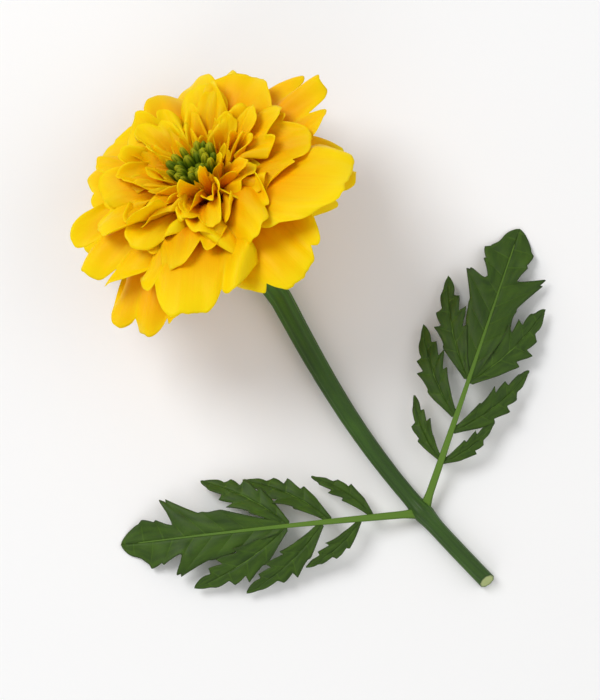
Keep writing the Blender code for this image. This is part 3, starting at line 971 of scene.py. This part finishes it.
# pairs of leaflets from the foot of the leaf on, in mm and degrees
leaflets = (
    {"at": 9.5, "angle": 58, "length": 13, "half": 2.3, "teeth": 4, "sweep": 0.35},
    {"at": 17, "angle": 52, "length": 19, "half": 3.5, "teeth": 5, "sweep": 0.30},
    {"at": 25.5, "angle": 46, "length": 20, "half": 4.0, "teeth": 5, "sweep": 0.25},
)
leafletLoose = {
    "at": (-1, 1), "pairStep": 0.8, "angle": (-5, 5), "length": (0.92, 1.06), "half": (0.9, 1.1),
}
endLeaflet = {
    "columns": 41, "rows": 150, "at": 26 * mm, "length": 32 * mm, "half": 8.4 * mm,
    "angle": 0.0, "side": 0.0, "sweep": 0.0, "fold": 0.06, "hook": 1.0,
    "teeth": 8.0, "toothDepth": 0.14, "lobes": 2.7, "lobeDepth": 0.6,
    "base": 0.13, "widest": 0.55, "tipTaper": 0.7,
}
leaves = {"leaf_right": {"turn": -30.0, "seed": 11}, "leaf_left": {"turn": 215.0, "seed": 42}}


def ridgeHeight(x):
    share = (x / leafShape["length"]).atLeast(0.0).atMost(1.0)
    ridge = between(leafShape["nodeHeight"], leafShape["rest"], share)
    return ridge + (share * math.pi).sin() * leafShape["arch"]


def leafHeight(x, y):
    outer = ((y / leafShape["span"]) ** 2.0).atMost(1.0)
    return between(ridgeHeight(x), leafShape["rest"], outer)


def makeLeafletTree():
    tree = ShapeTree("leaflet", leafletInputs)
    at = tree.inputs
    mesh, column, row = tree.grid(at["columns"], at["rows"])
    across = 1.0 - column / (at["columns"] - 1.0) * 2.0
    off = across.size()
    along = row / (at["rows"] - 1.0)
    left = across.math("SIGN") * 0.5 + 0.5
    phase = tree.phase(2)

    # lance shape on a winged foot, cut by forward teeth and, on the end leaflet, by lobes
    sway = tree.noise(tree.vector(along * 3.0, left * 5.0, phase), 1.0, 1.0) - 0.5
    body = (along / at["widest"]).atMost(1.0).step(-0.15, 1.0)
    toTip = (1.0 - along) / (1.0 - at["widest"])
    body = body * toTip.atMost(1.0) ** at["tipTaper"]
    toothTurn = along * at["teeth"] + left * 0.43 + sway * 0.5
    place = toothTurn.fraction()
    tooth = (place / at["toothPeak"]).atMost((1.0 - place) / (1.0 - at["toothPeak"]))
    atTip = along.step(0.8, 0.97)
    bite = at["toothDepth"] * (along.step(0.18, 0.45) - atTip) * (1.0 - tooth)
    lobeTurn = along * at["lobes"] + 0.32 + left * 0.2
    lobePlace = lobeTurn.fraction()
    lobe = (lobePlace / at["lobePeak"]).atMost((1.0 - lobePlace) / (1.0 - at["lobePeak"]))
    lobe = lobe.step(-0.1, 1.0)
    cut = at["lobeDepth"] * (along.step(0.2, 0.4) - atTip) * (1.0 - lobe)
    foot = at["base"] * (toTip * 3.0).atMost(1.0) ** 0.5
    wide = at["half"] * (foot + (1.0 - at["base"]) * body * (1.0 + sway * 0.3))
    wide = wide * (1.0 - bite) * (1.0 - cut)
    forward = at["length"] * along + at["hook"] * (1.0 - along.step(0.4, 0.95)) * wide * off
    sideways = wide * across - at["sweep"] * at["side"] * forward ** 2.0 / at["length"]
    x = at["at"] + forward * at["angle"].cos() - sideways * at["angle"].sin()
    y = forward * at["angle"].sin() + sideways * at["angle"].cos()

    vein = (toothTurn - 0.82).fraction() - 0.5
    quilt = (vein * 2.0).size() ** 2.0 * off * (1.0 - off) * at["quilt"]
    ripple = (along * 11.0 + phase + left * 2.0).sin() * off ** 2.0 * at["wave"]
    groove = at["groove"] * (1.0 - off.step(0.0, 0.12)) * (wide / mm).atMost(1.0)
    relief = wide * off * at["fold"] - groove + ripple * (wide / (3.0 * mm)).atMost(1.0) - quilt
    height = (leafHeight(x, y) + relief).atLeast(at["clear"])
    mesh = tree.place(mesh, tree.vector(x, y, height))
    mesh = tree.remember(mesh, "along", along)
    mesh = tree.remember(mesh, "across", across)
    mesh = tree.remember(mesh, "vein", toothTurn)
    mesh = tree.remember(mesh, "tone", tree.chance(0.0, 1.0, 4))
    rim = off ** 10.0
    return tree.finish(tree.thicken(mesh, at["thickness"] * (1.0 - rim * at["rimThin"])))


stalkInputs = {
    "columns": 19, "rows": 70, "start": -1.4 * mm, "reach": 55 * mm,
    "wide": 0.85 * mm, "thin": 0.14 * mm, "footSwell": 0.6, "flat": 0.85,
    "channel": 0.35, "lift": 0.25 * mm, "clear": 0.03 * mm,
}


def makeStalkTree():
    tree = ShapeTree("leafStalk", stalkInputs)
    at = tree.inputs
    mesh, column, row = tree.grid(at["columns"], at["rows"])
    turn = column / (at["columns"] - 1.0) * math.tau
    last = at["rows"] - 1.0
    along = row / last
    cap = row.atMost(last - row).atMost(1.0)
    x = between(at["start"], at["reach"], along)
    radius = between(at["wide"], at["thin"], along.step(-0.2, 1.0))
    radius = radius * (1.0 + (1.0 - along.step(0.0, 0.08)) * at["footSwell"]) * cap
    channel = (turn - math.pi / 2).cos().atLeast(0.0) ** 4.0 * at["channel"]
    y = radius * turn.cos()
    z = ridgeHeight(x) + radius * turn.sin() * (at["flat"] - channel) + at["lift"]
    mesh = tree.place(mesh, tree.vector(x, y, z.atLeast(at["clear"])))
    mesh = tree.remember(mesh, "along", along)
    mesh = tree.remember(mesh, "across", y / (20 * mm))
    mesh = tree.remember(mesh, "vein", 0.4)
    mesh = tree.remember(mesh, "tone", 0.5)
    return tree.finish(tree.weld(mesh, seamGap))


def joinInto(pieces, name):
    first = pieces[0]
    with bpy.context.temp_override(active_object=first, selected_editable_objects=pieces):
        bpy.ops.object.join()
    first.name = name
    return first


def makeLeaf(node, leafletTree, stalkTree):
    def stray(key):
        return chance.uniform(*leafletLoose[key])

    turn = math.radians(leaves[node]["turn"])
    chance = random.Random(leaves[node]["seed"])
    foot = stemBend(lie["nodeAt"])
    place = Matrix.Translation((foot.x, foot.y, 0.0)) @ Matrix.Rotation(turn, 4, "Z")
    place = place @ Matrix.Translation((leafShape["nodeClear"], 0.0, 0.0))
    pieces = [grow(node + "_stalk", stalkTree, {}, leafMaterial, place)]
    for pair, leaflet in enumerate(leaflets):
        for side in (-1, 1):
            at = leaflet["at"] + stray("at") + leafletLoose["pairStep"] * side
            angle = leaflet["angle"] + stray("angle")
            values = {
                "at": at * mm, "angle": side * math.radians(angle), "side": float(side),
                "length": leaflet["length"] * stray("length") * mm,
                "half": leaflet["half"] * stray("half") * mm,
                "teeth": float(leaflet["teeth"]), "sweep": leaflet["sweep"],
                "seed": chance.randrange(1000),
            }
            name = f"{node}_leaflet_{pair}_{side}"
            pieces.append(grow(name, leafletTree, values, leafMaterial, place))
    values = {**endLeaflet, "seed": chance.randrange(1000)}
    pieces.append(grow(node + "_end", leafletTree, values, leafMaterial, place))
    piece = joinInto(pieces, "look_" + node)
    settle(piece, "leaf", node)
    print(node, "grown")


def makeLeaves():
    leafletTree, stalkTree = makeLeafletTree(), makeStalkTree()
    for node in leaves:
        makeLeaf(node, leafletTree, stalkTree)


makeLeaves()


# floor, lights, camera
studio = {
    "floorSize": 4.0, "table": (0.93, 0.93, 0.93, 1.0), "tableRoughness": 0.8,
    "surround": 0.47, "aim": (0, 0, 0.02),
    "lights": {
        "key": {"power": 9.6, "size": 0.7, "place": (0.25, -0.85, 1.0)},
        "fill": {"power": 4.0, "size": 1.4, "place": (-0.9, 0.6, 0.9)},
        "side": {"power": 3.0, "size": 1.0, "place": (1.0, 0.7, 0.7)},
    },
}
view = {
    "azimuth": 144.0, "elevation": 84.0, "distance": 0.75, "lens": 200.0,
    "aim": (0.0, 0.0, 0.012),
}


def makeFloor():
    mesh = bpy.data.meshes.new("floor")
    shape = bmesh.new()
    bmesh.ops.create_grid(shape, x_segments=2, y_segments=2, size=studio["floorSize"])
    shape.to_mesh(mesh)
    shape.free()
    floor = bpy.data.objects.new("floor", mesh)
    bpy.context.scene.collection.objects.link(floor)
    material, _, shader = newMaterial("paleTable")
    shader.inputs["Base Color"].default_value = studio["table"]
    shader.inputs["Roughness"].default_value = studio["tableRoughness"]
    mesh.materials.append(material)


def makeLights():
    for name, light in studio["lights"].items():
        data = bpy.data.lights.new(name, "AREA")
        data.energy = light["power"]
        data.shape = "DISK"
        data.size = light["size"]
        lamp = bpy.data.objects.new(name, data)
        lamp.location = light["place"]
        aim = Vector(studio["aim"]) - Vector(light["place"])
        lamp.rotation_euler = aim.to_track_quat("-Z", "Y").to_euler()
        bpy.context.scene.collection.objects.link(lamp)
    world = bpy.data.worlds.new("studio")
    world.use_nodes = True
    background = world.node_tree.nodes["Background"]
    background.inputs["Color"].default_value = (1, 1, 1, 1)
    background.inputs["Strength"].default_value = studio["surround"]
    bpy.context.scene.world = world


def makeCamera():
    azimuth, elevation = math.radians(view["azimuth"]), math.radians(view["elevation"])
    back = Vector((
        math.sin(azimuth) * math.cos(elevation),
        -math.cos(azimuth) * math.cos(elevation),
        math.sin(elevation),
    ))
    data = bpy.data.cameras.new("camera")
    data.lens = view["lens"]
    data.clip_start = 0.01
    camera = bpy.data.objects.new("camera", data)
    camera.location = Vector(view["aim"]) + back * view["distance"]
    camera.rotation_euler = (-back).to_track_quat("-Z", "Y").to_euler()
    bpy.context.scene.collection.objects.link(camera)
    bpy.context.scene.camera = camera


makeFloor()
makeLights()
makeCamera()
bpy.context.scene.view_settings.view_transform = "Standard"
print("stage ready")
